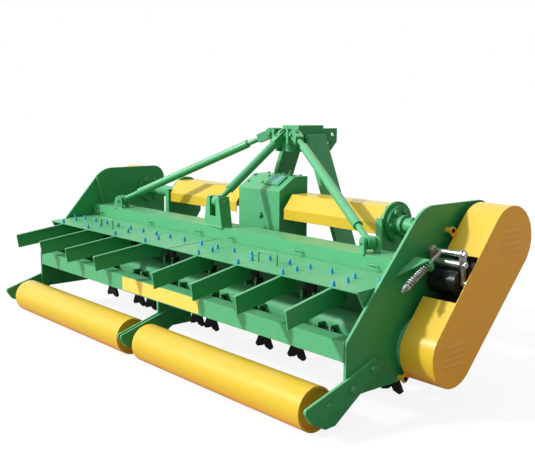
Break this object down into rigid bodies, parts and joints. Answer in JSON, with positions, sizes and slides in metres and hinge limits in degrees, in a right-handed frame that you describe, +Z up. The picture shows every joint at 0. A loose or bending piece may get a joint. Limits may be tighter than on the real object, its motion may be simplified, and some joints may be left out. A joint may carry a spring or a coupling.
{
  "type": "straw chopper",
  "caption": "Tractor-mounted straw chopper: flail rotor under a wide hood, rear rollers, guide vanes, belt drives at both ends and a mast for a three-point hitch.",
  "frame": {"origin": "on the ground, at the centre of the machine's box seen from above", "axes": "+X to the machine's right, +Y forward to the tractor, +Z up"},
  "size_m": [2.722, 1.294, 1.034],
  "materials": {
    "green_paint": "semi-gloss bright green paint",
    "yellow_paint": "semi-gloss golden yellow paint",
    "black_rubber": "matt black rubber",
    "bright_steel": "turned steel",
    "zinc_steel": "zinc plated",
    "dark_iron": "black forged and cast iron",
    "black_plastic": "moulded black plastic"
  },
  "bodies": {
    "frame": {"belt_guard_left": "yellow_paint", "belt_guard_right": "yellow_paint", "belt_left": "black_rubber", "belt_right": "black_rubber", "brace_clevises": "green_paint", "brace_left": "green_paint", "brace_middle": "green_paint", "brace_right": "green_paint", "cover_handles": "green_paint", "gearbox": "green_paint", "guide_vanes": "green_paint", "hitch_beam": "green_paint", "hitch_plate_left": "green_paint", "hitch_plate_right": "green_paint", "hood": "green_paint", "idlers": "dark_iron", "mast_head": "green_paint", "mast_leg_left": "green_paint", "mast_leg_right": "green_paint", "pto_guard": "black_plastic", "rear_beam": "green_paint", "rear_cover_left": "green_paint", "rear_cover_right": "green_paint", "roller_arm_left": "green_paint", "roller_arm_middle": "green_paint", "roller_arm_right": "green_paint", "rotor_bearings": "green_paint", "shaft_bearings": "green_paint", "shaft_guard_left": "yellow_paint", "shaft_guard_right": "yellow_paint", "side_plate_left": "green_paint", "side_plate_right": "green_paint", "spring_anchors": "green_paint", "stand_brackets": "green_paint", "tension_springs": "zinc_steel", "tensioner_left": "zinc_steel", "tensioner_right": "zinc_steel"},
    "rotor": {"rotor_tube": "green_paint", "flails": "dark_iron", "lower_pulleys": "dark_iron"},
    "cross_shaft": {"cross_shaft": "bright_steel", "upper_pulleys": "dark_iron"},
    "pto": {"pto_shaft": "bright_steel"},
    "roller_left": {"roller_left": "yellow_paint"},
    "roller_right": {"roller_right": "yellow_paint"},
    "stand_left": {"stand_left": "green_paint"},
    "stand_right": {"stand_right": "green_paint"}
  },
  "joints": [
    {"name": "rotor_spin", "type": "hinge", "parent": "frame", "child": "rotor", "pos_m": [0, -0.063, 0.237], "axis": [1, 0, 0], "continuous": true},
    {"name": "cross_shaft_spin", "type": "hinge", "parent": "frame", "child": "cross_shaft", "pos_m": [0, 0.279, 0.625], "axis": [1, 0, 0], "continuous": true},
    {"name": "pto_spin", "type": "hinge", "parent": "frame", "child": "pto", "pos_m": [0, 0.411, 0.625], "axis": [0, 1, 0], "continuous": true},
    {"name": "roller_left_spin", "type": "hinge", "parent": "frame", "child": "roller_left", "pos_m": [-0.6, -0.539, 0.084], "axis": [1, 0, 0], "continuous": true},
    {"name": "roller_right_spin", "type": "hinge", "parent": "frame", "child": "roller_right", "pos_m": [0.6, -0.539, 0.084], "axis": [1, 0, 0], "continuous": true},
    {"name": "stand_left_fold", "type": "hinge", "parent": "frame", "child": "stand_left", "pos_m": [-0.7, 0.29, 0.33], "axis": [0, 1, 0], "range_deg": [0, 90]},
    {"name": "stand_right_fold", "type": "hinge", "parent": "frame", "child": "stand_right", "pos_m": [0.7, 0.29, 0.33], "axis": [0, -1, 0], "range_deg": [0, 90]}
  ],
  "couplings": [
    {"joint": "cross_shaft_spin", "follows": "rotor_spin", "ratio": 0.87963},
    {"joint": "pto_spin", "follows": "rotor_spin", "ratio": 0.29321}
  ]
}
